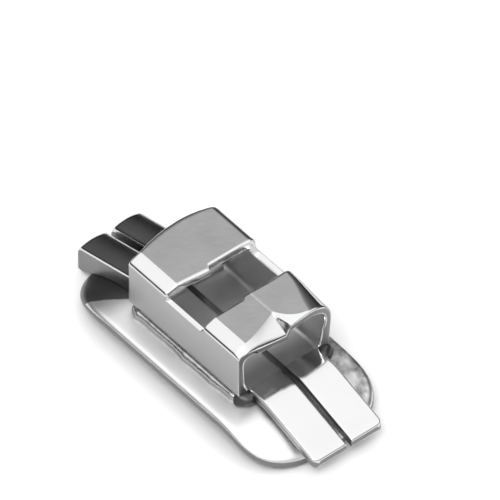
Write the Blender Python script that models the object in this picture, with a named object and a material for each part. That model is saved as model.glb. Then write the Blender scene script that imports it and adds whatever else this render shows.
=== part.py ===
"""Bondable lingual sheath: a folded steel sheath brazed to a contoured pad with a wire-gauze back.

X runs from the two rear ears to the two front tongues, Y across the part, Z away from the tooth.
Inside this file a height of zero is the inner floor of the sheath. The finished part stands on
the rim of its pad, with its origin under the middle of its outline.
"""
import math

import bmesh
import bpy

MM = 0.001

# Folded sheath: the strip, its tube and the slot for a doubled wire
SHEET = 0.19
WALL = 0.15
SHEATH_LENGTH = 3.34
SHEATH_WIDTH = 2.26
SLOT_HEIGHT = 0.95
SLOT_CORNER_Y = 0.08
SLOT_CORNER_Z = 0.25
LOWER_CORNER = 0.22
SHOULDER_WIDTH = 0.285
SHOULDER_DROP = 0.114
FAR_SHOULDER_WIDTH = 0.15
FAR_SHOULDER_DROP = 0.08
SHOULDER_ROUND = 0.05
EDGE_ROUND = 0.022

# Window in the roof, between the rear land and the crimped front land
REAR_LAND = 1.14
WINDOW_LENGTH = 1.05
SILL_DROP = 0.27
LAND_STEP = 0.11
LAND_SKEW = 0.08
ROOF_BULGE = 0.15

# Crimp of the front land, which bites between the doubled wires
CRIMP_REAR = 0.17
CRIMP_MIDDLE = 0.08
CRIMP_FRONT = 0.28
CRIMP_OFFSET = 0.06
CRIMP_FLANK = 0.16
CRIMP_FLANK_SHARE = 0.55
LIP_LENGTH = 0.20
LIP_DROP = 0.08

# Floor strips: two tongues in front and two ears behind, either side of the seam
SEAM_GAP = 0.13
TONGUE_WIDTH = 0.79
TONGUE_LENGTH = 2.03
TONGUE_FLAT = 0.46
TONGUE_SLOPE = 15.0
TONGUE_CORNER = 0.12
SHOULDER = 0.06
SEAM_SHOULDER = 0.02
SHOULDER_START = 0.12
EAR_WIDTH = 0.70
EAR_DRIFT = 0.065
EAR_REACH = 1.83
EAR_MOUTH_RISE = 0.26
EAR_CREST_RISE = 0.29
EAR_CREST_INSET = 0.16
EAR_FOOT_INSET = 0.55
EAR_REAR_DROP = 0.30
EAR_CROWN = 0.11
EAR_LEG = 0.13
EAR_HOOK = 0.11
HOOK_CLEARANCE = 0.03

# Pad that is bonded to the tooth
PAD_LENGTH = 6.5
PAD_WIDTH = 3.13
PAD_SHIFT = -0.10
PAD_THICKNESS = 0.11
PAD_REAR_ROUND = 1.6
PAD_REAR_POWER = 2.6
PAD_FRONT_ROUND = 1.12
PAD_FRONT_POWER = 2.7
PAD_FLAT_LENGTH = 3.2
PAD_END_DROP = 0.50
PAD_SIDE_DROP = 0.08
PAD_EDGE_ROUND = 0.07
RIM_WIDTH = 0.13
RIM_DEPTH = 0.25

# Gauze in the back of the pad
GAUZE_PITCH = 0.29
GAUZE_BASE = 0.02
GAUZE_WIRE = 0.05

# Braze: the joint film and the fillets along both walls
BRAZE_GAP = 0.02
SEAT_GAP = 0.016
BRAZE_REACH = 0.14
BRAZE_RISE = 0.10
BRAZE_SHORT = 0.06
BRAZE_RUNOUT = 0.12
BRAZE_WAVE = 0.028

HALF_WIDTH = SHEATH_WIDTH / 2
REAR_END = -SHEATH_LENGTH / 2
FRONT_END = SHEATH_LENGTH / 2
WINDOW_REAR = REAR_END + REAR_LAND
WINDOW_FRONT = WINDOW_REAR + WINDOW_LENGTH
ROOF = SLOT_HEIGHT + SHEET
EAR_END = REAR_END - EAR_REACH
TONGUE_TIP = FRONT_END + TONGUE_LENGTH
PAD_HALF = PAD_LENGTH / 2
PAD_SEAT = -SHEET - BRAZE_GAP


def ease(share):
    """Blend smoothly from 0 to 1."""
    share = min(max(share, 0.0), 1.0)
    return share * share * (3 - 2 * share)


def between(value, low, high):
    return (value - low) / (high - low)


def pad_top(x, y):
    """Height of the pad's upper face: level under the sheath, falling to both ends and both sides."""
    flat = PAD_FLAT_LENGTH / 2
    end = max(abs(x) - flat, 0.0) / (PAD_HALF - flat)
    side = (y - PAD_SHIFT) / (PAD_WIDTH / 2)
    return PAD_SEAT - PAD_END_DROP * end ** 2 - PAD_SIDE_DROP * side ** 2


def pad_outline(inset=0.0):
    """Oblong outline, straight at the sides, rounder at the rear end than at the front."""
    half = PAD_WIDTH / 2 - inset
    end_steps = 14
    side_steps = 9
    front_start = PAD_HALF - PAD_FRONT_ROUND
    rear_start = -PAD_HALF + PAD_REAR_ROUND
    points = []
    for start, size, power, way in (
        (front_start, PAD_FRONT_ROUND, PAD_FRONT_POWER, 1),
        (rear_start, PAD_REAR_ROUND, PAD_REAR_POWER, -1),
    ):
        for step in range(end_steps + 1):
            turn = math.pi * step / end_steps - math.pi / 2
            along = math.cos(turn) ** (2 / power) * (size - inset)
            across = abs(math.sin(turn)) ** (2 / power) * math.copysign(half, turn)
            points.append((start + way * along, PAD_SHIFT + way * across))
        other = rear_start if way > 0 else front_start
        for step in range(1, side_steps):
            x = start + (other - start) * step / side_steps
            points.append((x, PAD_SHIFT + way * half))
    return points


def lowest_point():
    return min(pad_top(x, y) for x, y in pad_outline()) - RIM_DEPTH


ORIGIN_X = (EAR_END + TONGUE_TIP) / 2
ORIGIN_Z = lowest_point()


def place(x, y, z):
    """From the sheath's own millimetres to metres from the part's origin."""
    return ((x - ORIGIN_X) * MM, y * MM, (z - ORIGIN_Z) * MM)


def clear_scene():
    for item in list(bpy.data.objects):
        bpy.data.objects.remove(item, do_unlink=True)


def metal(name, colour, roughness):
    material = bpy.data.materials.new(name)
    material.use_nodes = True
    shader = material.node_tree.nodes["Principled BSDF"]
    shader.inputs["Base Color"].default_value = (*colour, 1.0)
    shader.inputs["Metallic"].default_value = 1.0
    shader.inputs["Roughness"].default_value = roughness
    return material


def add_object(name, mesh, material, smooth_angle=35):
    mesh.shade_smooth()
    mesh.set_sharp_from_angle(angle=math.radians(smooth_angle))
    mesh.materials.append(material)
    item = bpy.data.objects.new(name, mesh)
    bpy.context.collection.objects.link(item)
    return item


def mesh_from(name, bm):
    bmesh.ops.recalc_face_normals(bm, faces=bm.faces)
    if bm.calc_volume(signed=True) < 0:
        bmesh.ops.reverse_faces(bm, faces=bm.faces)
    mesh = bpy.data.meshes.new(name)
    bm.to_mesh(mesh)
    bm.free()
    return mesh


def skin_pair(name, upper, lower, kept):
    """Close two matching grids of points into one sheet, with walls wherever a kept cell ends."""
    bm = bmesh.new()
    rows = len(upper)
    columns = len(upper[0])
    used = set()
    for i in range(rows - 1):
        for j in range(columns - 1):
            if kept(i, j):
                used.update(((i, j), (i + 1, j), (i, j + 1), (i + 1, j + 1)))
    top = {key: bm.verts.new(place(*upper[key[0]][key[1]])) for key in sorted(used)}
    bottom = {key: bm.verts.new(place(*lower[key[0]][key[1]])) for key in sorted(used)}

    def present(i, j):
        return 0 <= i < rows - 1 and 0 <= j < columns - 1 and kept(i, j)

    for i in range(rows - 1):
        for j in range(columns - 1):
            if not present(i, j):
                continue
            corners = ((i, j), (i + 1, j), (i + 1, j + 1), (i, j + 1))
            bm.faces.new([top[key] for key in corners])
            bm.faces.new([bottom[key] for key in reversed(corners)])
            beyond = ((i, j - 1), (i + 1, j), (i, j + 1), (i - 1, j))
            for side, neighbour in enumerate(beyond):
                if not present(*neighbour):
                    a = corners[side]
                    b = corners[(side + 1) % 4]
                    bm.faces.new((top[b], top[a], bottom[a], bottom[b]))
    return mesh_from(name, bm)


def strip_height(x):
    """Top of the floor strips along the part: ears, hump that stops the wire, floor and tongues."""
    foot = REAR_END + EAR_FOOT_INSET
    crest = REAR_END + EAR_CREST_INSET
    if x < REAR_END:
        return -EAR_REAR_DROP + (EAR_MOUTH_RISE + EAR_REAR_DROP) * between(x, EAR_END, REAR_END)
    if x < crest:
        rise = between(x, REAR_END, crest)
        return EAR_MOUTH_RISE + (EAR_CREST_RISE - EAR_MOUTH_RISE) * (2 - rise) * rise
    if x < foot:
        return EAR_CREST_RISE * (1 - ease(between(x, crest, foot)))
    bend = FRONT_END + TONGUE_FLAT
    if x <= bend:
        return 0.0
    sloped = -(x - bend) * math.tan(math.radians(TONGUE_SLOPE))
    return max(sloped, pad_top(min(x, PAD_HALF), 0.0) + BRAZE_GAP + SHEET)


def ear_share(x):
    """1 on the ears, 0 on the floor and the tongues."""
    return 1 - ease(between(x, REAR_END, REAR_END + EAR_FOOT_INSET))


def strip_points(x, side):
    """Upper and lower points across one floor strip, from the seam to its outer edge."""
    ear = ear_share(x)
    seam = SEAM_GAP / 2
    width = TONGUE_WIDTH + (EAR_WIDTH - TONGUE_WIDTH) * ear
    top = strip_height(x)
    taper = 0.0
    tip_start = TONGUE_TIP - TONGUE_CORNER
    if x > tip_start:
        taper = TONGUE_CORNER * (1 - math.sqrt(max(0.0, 1 - between(x, tip_start, TONGUE_TIP) ** 2)))
    free = x < REAR_END or x > FRONT_END + SHOULDER_START / 2
    hook = x < EAR_END + EAR_HOOK + HOOK_CLEARANCE / 2
    upper = []
    lower = []
    leg = EAR_LEG / width
    for share in (0.0, leg, 0.32, 0.5, 0.68, 1 - leg, 1.0):
        y = side * (seam + share * (width - taper)) - EAR_DRIFT * ear
        crown = EAR_CROWN * ear * (1 - (2 * share - 1) ** 2)
        rounding = 0.0
        if free and share == 0.0:
            rounding = SEAM_SHOULDER
        elif free and share == 1.0:
            rounding = SHOULDER
        upper.append((x, y, top + crown - rounding))
        underside = top - SHEET + crown
        seat = pad_top(x, y) + BRAZE_GAP
        on_leg = share <= leg or share >= 1 - leg
        if x < REAR_END and hook:
            underside = pad_top(-PAD_HALF, y) - PAD_THICKNESS
        elif x < REAR_END and on_leg:
            underside = seat
        elif x < REAR_END:
            underside = max(underside, seat)
        elif on_leg and ear > 0:
            underside = -SHEET
        lower.append((x, y, underside))
    return upper, lower


def crimp_depth(x):
    """Depth of the groove along the front land: a dent at its rear edge, deepest at its front edge."""
    along = between(x, WINDOW_FRONT, FRONT_END)
    rear = (CRIMP_REAR - CRIMP_MIDDLE) * max(0.0, 1 - along / 0.45) ** 2
    front = (CRIMP_FRONT - CRIMP_MIDDLE) * max(0.0, (along - 0.35) / 0.65) ** 1.5
    return CRIMP_MIDDLE + rear + front


def roof_drop(x, y, side):
    """How far the roof lies below its plane: the crimp, and the lip along the front edge."""
    if x < WINDOW_FRONT:
        return 0.0
    edge = HALF_WIDTH - (SHOULDER_WIDTH if side < 0 else FAR_SHOULDER_WIDTH)
    flank_top = CRIMP_OFFSET + CRIMP_FLANK
    if side < 0:
        share = between(y, edge, -CRIMP_OFFSET)
    elif y < flank_top:
        share = 1 - CRIMP_FLANK_SHARE * between(y, CRIMP_OFFSET, flank_top)
    else:
        share = (1 - CRIMP_FLANK_SHARE) * between(y, edge, flank_top)
    lip = LIP_DROP * max(0.0, (x - FRONT_END + LIP_LENGTH) / LIP_LENGTH)
    return crimp_depth(x) * max(share, 0.0) + lip


def land_edge_shift(x, y, side):
    """The cut edges of the roof: bowed at the rear, stepped at the window's rear, askew at its front."""
    if abs(x - REAR_END) < 1e-6:
        return -ROOF_BULGE * max(0.0, 1 - (y / (HALF_WIDTH - SHOULDER_WIDTH)) ** 2)
    if side > 0:
        return 0.0
    if abs(x - WINDOW_REAR) < 1e-6 and y > CRIMP_OFFSET:
        return LAND_STEP * (1 - between(y, CRIMP_FLANK, HALF_WIDTH))
    if abs(x - WINDOW_FRONT) < 1e-6:
        return LAND_SKEW
    return 0.0


def tube_points(x, side):
    """Outer and inner points of one half of the tube, from the floor's corner to the roof's middle."""
    outer = []
    inner = []
    slot_half = HALF_WIDTH - WALL
    steps = 4
    for step in range(steps + 1):
        turn = math.pi / 2 * (step / steps - 1)
        outer.append((HALF_WIDTH - LOWER_CORNER + LOWER_CORNER * math.cos(turn),
                      -SHEET + LOWER_CORNER + LOWER_CORNER * math.sin(turn)))
        inner.append((slot_half - SLOT_CORNER_Y + SLOT_CORNER_Y * math.cos(turn),
                      SLOT_CORNER_Z + SLOT_CORNER_Z * math.sin(turn)))
    sill = ROOF - SILL_DROP
    outer.append((HALF_WIDTH, sill))
    inner.append((slot_half, SLOT_HEIGHT - SLOT_CORNER_Z))
    shoulder = SHOULDER_WIDTH if side < 0 else FAR_SHOULDER_WIDTH
    fall = SHOULDER_DROP if side < 0 else FAR_SHOULDER_DROP
    wall_top = ROOF - fall
    outer.append((HALF_WIDTH, wall_top - SHOULDER_ROUND))
    outer.append((HALF_WIDTH - 0.3 * SHOULDER_ROUND, wall_top - 0.15 * SHOULDER_ROUND))
    outer.append((HALF_WIDTH - SHOULDER_ROUND, wall_top + SHOULDER_ROUND * fall / shoulder))
    for turn in (math.pi / 6, math.pi / 3, math.pi / 2.2):
        inner.append((slot_half - SLOT_CORNER_Y + SLOT_CORNER_Y * math.cos(turn),
                      SLOT_HEIGHT - SLOT_CORNER_Z + SLOT_CORNER_Z * math.sin(turn)))
    edge = HALF_WIDTH - shoulder
    roof_stations = (edge, 0.72 * edge, 0.46 * edge, CRIMP_OFFSET + CRIMP_FLANK, side * CRIMP_OFFSET)
    for y in roof_stations:
        outer.append((y, ROOF))
        inner.append((min(y, slot_half - SLOT_CORNER_Y), SLOT_HEIGHT))
    lift = len(outer) - len(roof_stations) - 4
    placed_outer = []
    placed_inner = []
    for index, ((outer_y, outer_z), (inner_y, inner_z)) in enumerate(zip(outer, inner)):
        shift = land_edge_shift(x, outer_y, side) if index > lift else 0.0
        drop = roof_drop(x, outer_y, side) if index > lift else 0.0
        placed_outer.append((x + shift, side * outer_y, outer_z - drop))
        placed_inner.append((x + shift, side * inner_y, inner_z - drop))
    return placed_outer, placed_inner


def stations_along():
    """Places along the part where the sheet gets a row of points."""
    rows = [EAR_END, EAR_END + EAR_HOOK]
    rows += [EAR_END + EAR_HOOK + HOOK_CLEARANCE]
    rows += [EAR_END + EAR_REACH * share for share in (0.3, 0.55, 0.8)]
    rows += [REAR_END - ROOF_BULGE, REAR_END]
    rows += [REAR_END + EAR_CREST_INSET * share for share in (0.5, 1.0)]
    ramp = EAR_FOOT_INSET - EAR_CREST_INSET
    rows += [REAR_END + EAR_CREST_INSET + ramp * share for share in (0.25, 0.5, 0.75, 1.0)]
    rows += [WINDOW_REAR, WINDOW_FRONT]
    land = FRONT_END - WINDOW_FRONT
    rows += [WINDOW_FRONT + land * share for share in (0.16, 0.34, 0.5, 0.66)]
    rows += [FRONT_END - LIP_LENGTH, FRONT_END]
    bend = FRONT_END + TONGUE_FLAT
    rows += [FRONT_END + SHOULDER_START, bend - 0.08, bend + 0.08]
    rows += [bend + (TONGUE_TIP - TONGUE_CORNER - bend) * share for share in (0.35, 0.7, 1.0)]
    rows += [TONGUE_TIP - TONGUE_CORNER * share for share in (0.6, 0.26, 0.0)]
    return rows


def build_sheath():
    """One folded strip: floor strips, tube, window and crimp, closed into a sheet."""
    rows = stations_along()
    upper = []
    lower = []
    for x in rows:
        halves = []
        for side in (-1, 1):
            strip_upper, strip_lower = strip_points(x, side)
            tube_outer, tube_inner = tube_points(x, side)
            halves.append((strip_upper + tube_inner, strip_lower + tube_outer))
        near, far = halves
        upper.append(near[0] + list(reversed(far[0]))[1:])
        lower.append(near[1] + list(reversed(far[1]))[1:])
    strip_cells = len(strip_upper) - 1
    corner_cells = 5
    sill_cell = strip_cells + 1 + corner_cells
    last = len(upper[0]) - 1

    def kept(i, j):
        middle = (rows[i] + rows[i + 1]) / 2
        from_seam = min(j, last - 1 - j)
        if from_seam < strip_cells:
            return True
        if middle < REAR_END or middle > FRONT_END:
            return False
        in_window = WINDOW_REAR < middle < WINDOW_FRONT
        return not in_window or from_seam < sill_cell

    mesh = skin_pair("sheath", upper, lower, kept)
    item = add_object("sheath", mesh, metal("sheath steel", (0.78, 0.78, 0.80), 0.12))
    rounding = item.modifiers.new("broken edges", "BEVEL")
    rounding.width = EDGE_ROUND * MM
    rounding.segments = 2
    rounding.limit_method = "ANGLE"
    rounding.angle_limit = math.radians(50)
    rounding.use_clamp_overlap = False
    return item


def ring(bm, points, height):
    return [bm.verts.new(place(x, y, height(x, y))) for x, y in points]


def scaled(points, share):
    return [(x * share, PAD_SHIFT + (y - PAD_SHIFT) * share) for x, y in points]


def bridge(bm, first, second):
    count = len(first)
    for k in range(count):
        bm.faces.new((first[k], first[(k + 1) % count], second[(k + 1) % count], second[k]))


def fan(bm, loop, centre):
    count = len(loop)
    for k in range(count):
        bm.faces.new((loop[k], loop[(k + 1) % count], centre))


def build_pad():
    """Stamped tray: a contoured plate with its edge turned down into a rim round the gauze."""
    bm = bmesh.new()
    outline = pad_outline()
    well = pad_outline(RIM_WIDTH)

    def back(x, y):
        return pad_top(x, y) - PAD_THICKNESS

    def rim(x, y):
        return pad_top(x, y) - RIM_DEPTH

    loops = [ring(bm, scaled(outline, share), pad_top) for share in (0.2, 0.4, 0.58, 0.74, 0.88, 1.0)]
    loops.append(ring(bm, outline, rim))
    loops.append(ring(bm, well, rim))
    loops += [ring(bm, scaled(well, share), back) for share in (1.0, 0.88, 0.74, 0.58, 0.4, 0.2)]
    for first, second in zip(loops, loops[1:]):
        bridge(bm, first, second)
    fan(bm, loops[0], bm.verts.new(place(0, PAD_SHIFT, pad_top(0, PAD_SHIFT))))
    fan(bm, loops[-1], bm.verts.new(place(0, PAD_SHIFT, back(0, PAD_SHIFT))))
    item = add_object("bonding_pad", mesh_from("bonding_pad", bm), metal("pad steel", (0.76, 0.76, 0.78), 0.2))
    rounding = item.modifiers.new("turned edge", "BEVEL")
    rounding.width = PAD_EDGE_ROUND * MM
    rounding.segments = 2
    rounding.limit_method = "ANGLE"
    rounding.angle_limit = math.radians(50)
    return item


def gauze_relief(i, j):
    """Depth of the woven face at half-pitch points: full at crossings, none in the meshes."""
    if i % 2 == 0 and j % 2 == 0:
        return 2 * GAUZE_WIRE
    if i % 2 == 0 or j % 2 == 0:
        return 1.35 * GAUZE_WIRE
    return 0.0


def build_gauze():
    """Woven wire pressed flat against the pad's back and cut to the inside of its rim."""
    step = GAUZE_PITCH / 2
    rows = int(PAD_LENGTH / step / 2)
    columns = int(PAD_WIDTH / step / 2)
    upper = []
    lower = []
    for i in range(-rows, rows + 1):
        upper_row = []
        lower_row = []
        for j in range(-columns, columns + 1):
            x = i * step
            y = PAD_SHIFT + j * step
            seat = pad_top(x, y) - PAD_THICKNESS - SEAT_GAP
            upper_row.append((x, y, seat))
            lower_row.append((x, y, seat - GAUZE_BASE - gauze_relief(i, j)))
        upper.append(upper_row)
        lower.append(lower_row)
    mesh = skin_pair("mesh_screen", upper, lower, lambda i, j: True)
    item = add_object("mesh_screen", mesh, metal("gauze steel", (0.7, 0.7, 0.72), 0.35))
    cutter_mesh = bmesh.new()
    outline = pad_outline(RIM_WIDTH + SEAT_GAP)
    low = ring(cutter_mesh, outline, lambda x, y: ORIGIN_Z - 1)
    high = ring(cutter_mesh, outline, lambda x, y: ROOF)
    bridge(cutter_mesh, low, high)
    cutter_mesh.faces.new(low)
    cutter_mesh.faces.new(high)
    cutter = bpy.data.objects.new("gauze_outline", mesh_from("gauze_outline", cutter_mesh))
    bpy.context.collection.objects.link(cutter)
    cutter.hide_render = True
    cutter.display_type = "WIRE"
    cut = item.modifiers.new("cut to outline", "BOOLEAN")
    cut.operation = "INTERSECT"
    cut.object = cutter
    return item


def build_braze(name, side, phase):
    """Fillet of braze that ran along the foot of one wall and set with an uneven edge."""
    bm = bmesh.new()
    start = REAR_END + BRAZE_SHORT
    length = SHEATH_LENGTH - BRAZE_SHORT + BRAZE_RUNOUT
    rows = 26
    centre_y = HALF_WIDTH - LOWER_CORNER
    centre_z = -SHEET + LOWER_CORNER
    loops = []
    for row in range(rows + 1):
        x = start + length * row / rows
        wave = math.sin(3.1 * x + phase) + 0.6 * math.sin(7.7 * x + 2.3 * phase)
        reach = BRAZE_REACH + BRAZE_WAVE * wave
        rise = BRAZE_RISE + 0.4 * BRAZE_WAVE * wave
        section = []
        for turn in (-62, -48, -34, -20):
            angle = math.radians(turn)
            radius = LOWER_CORNER + SEAT_GAP
            section.append((centre_y + radius * math.cos(angle), centre_z + radius * math.sin(angle)))
        toe = HALF_WIDTH + reach
        section.append((HALF_WIDTH + 0.35 * reach, min(centre_z, pad_top(x, toe) + rise + 0.04)))
        section.append((HALF_WIDTH + 0.75 * reach, pad_top(x, toe) + 0.55 * rise))
        section.append((toe, pad_top(x, toe) + SEAT_GAP))
        section.append((HALF_WIDTH, pad_top(x, HALF_WIDTH) + SEAT_GAP))
        loops.append([bm.verts.new(place(x, side * y, z)) for y, z in section])
    for first, second in zip(loops, loops[1:]):
        bridge(bm, first, second)
    bm.faces.new(loops[0])
    bm.faces.new(loops[-1])
    return add_object(name, mesh_from(name, bm), metal("braze", (0.72, 0.71, 0.68), 0.3), 60)


clear_scene()
build_sheath()
build_pad()
build_gauze()
build_braze("braze_bead_near", -1, 0.4)
build_braze("braze_bead_far", 1, 2.1)
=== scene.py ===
import math

import bmesh
import bpy
from mathutils import Matrix, Vector


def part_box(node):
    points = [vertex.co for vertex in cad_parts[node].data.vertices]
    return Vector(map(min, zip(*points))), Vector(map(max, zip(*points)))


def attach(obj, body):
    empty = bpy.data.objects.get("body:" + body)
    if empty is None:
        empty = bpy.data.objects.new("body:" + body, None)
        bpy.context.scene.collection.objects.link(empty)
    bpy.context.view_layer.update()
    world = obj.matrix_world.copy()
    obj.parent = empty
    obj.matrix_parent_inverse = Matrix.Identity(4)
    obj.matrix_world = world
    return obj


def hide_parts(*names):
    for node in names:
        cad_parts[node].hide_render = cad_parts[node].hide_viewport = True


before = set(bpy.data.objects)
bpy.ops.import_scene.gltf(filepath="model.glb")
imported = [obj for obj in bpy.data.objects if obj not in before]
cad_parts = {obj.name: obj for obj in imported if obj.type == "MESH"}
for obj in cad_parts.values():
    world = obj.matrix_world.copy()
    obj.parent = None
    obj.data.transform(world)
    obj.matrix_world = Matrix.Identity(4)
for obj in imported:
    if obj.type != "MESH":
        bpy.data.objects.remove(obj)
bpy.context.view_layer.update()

# Folded sheath: one strip of polished stainless steel, bent into a flat tube that takes a doubled
# wire. Its two edges meet along the middle of the floor. The floor runs on as two tongues in
# front and as two humped ears behind, and a window is cut in the roof.
MM = 0.001
SHEET = 0.19
SHEATH_LENGTH = 3.34
HALF_WIDTH = 1.13
SLOT_HEIGHT = 0.95
ROOF = SLOT_HEIGHT + SHEET
REAR_END = -SHEATH_LENGTH / 2
FRONT_END = SHEATH_LENGTH / 2
SOLID_EAR_REACH = 1.83
EAR_EXTRA = 0.09

sheath_low, sheath_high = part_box("sheath")
CENTRE_X = sheath_low[0] - (REAR_END - SOLID_EAR_REACH) * MM
FLOOR_Z = sheath_high[2] - ROOF * MM


def at(x, y, z):
    """From the sheath's own millimetres, with zero at its inner floor, to the frame's metres."""
    return (CENTRE_X + x * MM, y * MM, FLOOR_Z + z * MM)


# The sheath is seated on the pad, whose upper face is curved to the tooth.
PAD_HALF = 3.25
PAD_WIDTH = 3.13
PAD_SHIFT = -0.10
PAD_FLAT = 1.6
PAD_END_DROP = 0.50
PAD_SIDE_DROP = 0.08
PAD_THICKNESS = 0.11
JOINT = 0.02


def pad_top(x, y):
    """Height of the pad's upper face at a place."""
    end = max(abs(x) - PAD_FLAT, 0.0) / (PAD_HALF - PAD_FLAT)
    side = (y - PAD_SHIFT) / (PAD_WIDTH / 2)
    return -SHEET - JOINT - PAD_END_DROP * end ** 2 - PAD_SIDE_DROP * side ** 2


# The floor is two strips with the seam between them. Behind the tube each is humped into an ear
# that stops the wire, and in front of it each is a tongue, bent down a little way out.
EAR_END = REAR_END - SOLID_EAR_REACH - EAR_EXTRA
EAR_END_ROUND = 0.11
EAR_REAR_DROP = 0.25
EAR_MOUTH = 0.26
EAR_CREST = 0.29
EAR_CREST_X = REAR_END + 0.16
EAR_FOOT_X = REAR_END + 0.55
TONGUE_TIP = FRONT_END + 1.96
TONGUE_FOLD = FRONT_END + 0.46
TONGUE_BEND = 0.16
TONGUE_SLOPE = math.tan(math.radians(16.8))


def ease(share):
    """A share from 0 to 1 that starts and ends gently."""
    share = min(max(share, 0.0), 1.0)
    return share * share * (3 - 2 * share)


def between(value, low, high):
    """Where a value lies from low, which gives 0, to high, which gives 1."""
    return (value - low) / (high - low)


def rounded_off(radius, inside):
    """What a rounded edge takes off the face of the sheet, some way inside that edge."""
    short = max(radius - inside, 0.0)
    return radius - math.sqrt(radius ** 2 - short ** 2)


def strip_height(x):
    """Top of the floor strips: ears, the hump that stops the wire, level floor, then the tongues."""
    if x < REAR_END:
        climb = (EAR_MOUTH + EAR_REAR_DROP) * between(x, EAR_END, REAR_END)
        return -EAR_REAR_DROP + climb - rounded_off(EAR_END_ROUND, x - EAR_END)
    if x < EAR_CREST_X:
        climb = between(x, REAR_END, EAR_CREST_X)
        return EAR_MOUTH + (EAR_CREST - EAR_MOUTH) * (2 - climb) * climb
    if x < EAR_FOOT_X:
        return EAR_CREST * (1 - ease(between(x, EAR_CREST_X, EAR_FOOT_X)))
    if x < TONGUE_FOLD - TONGUE_BEND:
        return 0.0
    if x < TONGUE_FOLD + TONGUE_BEND:
        return -TONGUE_SLOPE * (x - TONGUE_FOLD + TONGUE_BEND) ** 2 / (4 * TONGUE_BEND)
    return -TONGUE_SLOPE * (x - TONGUE_FOLD)


SEAM_GAP = 0.13
SEAM_ROUND = 0.035
EAR_SEAM_ROUND = 0.085
STRIP_SHOULDER = 0.05
FREE_RUN = 0.1
TONGUE_WIDTH = 0.79
TONGUE_CORNER = 0.12
TONGUE_BLUNT = 0.04
EAR_WIDTH = 0.70
EAR_DRIFT = 0.065
EAR_CROWN = 0.07
EAR_LEG = 0.12
EAR_HOOK = 0.12


def spread(low, high, count):
    """Even steps from low to high, both ends included."""
    return [low + (high - low) * step / count for step in range(count + 1)]


def strip_section(x, side):
    """Upper and lower points across one floor strip, seam edge first."""
    ear = 1 - ease(between(x, REAR_END, EAR_FOOT_X))
    width = TONGUE_WIDTH + (EAR_WIDTH - TONGUE_WIDTH) * ear
    if x > TONGUE_TIP - TONGUE_CORNER:
        turned = between(x, TONGUE_TIP - TONGUE_CORNER, TONGUE_TIP)
        width -= TONGUE_CORNER * (1 - math.sqrt(max(0.0, 1 - turned ** 2)))
    free = 1.0 if x < REAR_END else ease(between(x, FRONT_END, FRONT_END + FREE_RUN))
    blunt = rounded_off(TONGUE_BLUNT, TONGUE_TIP - x)
    seam_round = SEAM_ROUND + (EAR_SEAM_ROUND - SEAM_ROUND) * ear
    top = strip_height(x)

    def placed(reach):
        """Sideways place of a point that far from the seam edge, and how far it is crowned."""
        y = side * (SEAM_GAP / 2 + reach) - EAR_DRIFT * ear
        return y, EAR_CROWN * ear * (1 - (2 * reach / width - 1) ** 2)

    across = []
    for turn in spread(0, math.pi / 2, 4):
        across.append((seam_round * (1 - math.cos(turn)), seam_round * (1 - math.sin(turn))))
    for share in spread(0, 1, 10)[1:-1]:
        across.append((seam_round + (width - seam_round - STRIP_SHOULDER) * share, 0.0))
    for turn in spread(0, math.pi / 2, 6):
        across.append((width - STRIP_SHOULDER + STRIP_SHOULDER * math.sin(turn),
                       STRIP_SHOULDER * (1 - math.cos(turn))))
    upper = []
    for reach, rounding in across:
        y, crown = placed(reach)
        upper.append((x, y, top + crown - free * rounding - blunt))
    lower = []
    for index in range(len(across)):
        reach = width * index / (len(across) - 1)
        y, crown = placed(reach)
        seat = pad_top(x, y) + JOINT
        on_leg = reach <= EAR_LEG or reach >= width - EAR_LEG
        under = top - SHEET + crown
        if x < EAR_END + EAR_HOOK:
            under = pad_top(-PAD_HALF, y) - PAD_THICKNESS
        elif x < REAR_END:
            under = seat if on_leg else max(under, seat)
        elif on_leg and ear > 0:
            under = -SHEET
        lower.append((x, y, under + blunt))
    return upper, lower


# The roof slopes down in a shoulder on its near side. On its far side it bends into the wall over
# a radius that grows towards the front.
SHOULDER_WIDTH = 0.285
SHOULDER_DROP = 0.114
ROOF_EDGE = HALF_WIDTH - SHOULDER_WIDTH
FAR_ROUND = 0.15
FAR_ROUND_FRONT = 0.46
WINDOW_REAR = REAR_END + 1.14
WINDOW_FRONT = WINDOW_REAR + 1.05


def far_round(x):
    """Radius of the tube's far upper corner."""
    return FAR_ROUND + (FAR_ROUND_FRONT - FAR_ROUND) * ease(between(x, WINDOW_FRONT, FRONT_END))


# The front land of the roof is crimped: a plier pressed a V into it, with a lip bent down on each
# side. The near lip is short and steep, the far one long and shallow, with a step between them.
VALLEY = 0.07
FLANK = 0.045
FLANK_FRONT = 0.11
FLANK_REACH = 0.25
LIP_LENGTH = 0.145
LIP_REACH = 0.30
LIP_CURVE = 1.3
LIP_SLOPE = 0.85
LIP_EASE = 0.30
FAR_LIP_LENGTH = 0.56
FAR_LIP_DROP = 0.06
FAR_LIP_FADE = 0.23
NEAR_SAG = 0.0012
LIP_FOLD = FRONT_END - LIP_LENGTH


def flank(x):
    """Width of the step between the two lips, opening out to the front."""
    return FLANK + (FLANK_FRONT - FLANK) * max(0.0, between(x, FRONT_END - FLANK_REACH, FRONT_END))


def near_share(y):
    """How far across the near half a place is, from the shoulder to the valley."""
    return max(between(y, -ROOF_EDGE, VALLEY), 0.0)


def near_length(y):
    """Length of the near lip, from its slanting crease to the front edge."""
    return LIP_LENGTH + LIP_REACH * near_share(y) ** LIP_CURVE


def far_length(y):
    """Length of the far lip, shorter and shorter towards the far wall."""
    return FAR_LIP_LENGTH * math.exp(-(y - VALLEY) / FAR_LIP_FADE)


def near_lip(x, y):
    """Drop of the near half of the front land: a lip bent down, wider and deeper at the valley."""
    along = max(0.0, x - FRONT_END + near_length(y))
    shoulder = 1.0 if y > -ROOF_EDGE else max(0.0, between(-y, HALF_WIDTH, ROOF_EDGE))
    return shoulder * along * (LIP_SLOPE - LIP_EASE * near_share(y))


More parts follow.
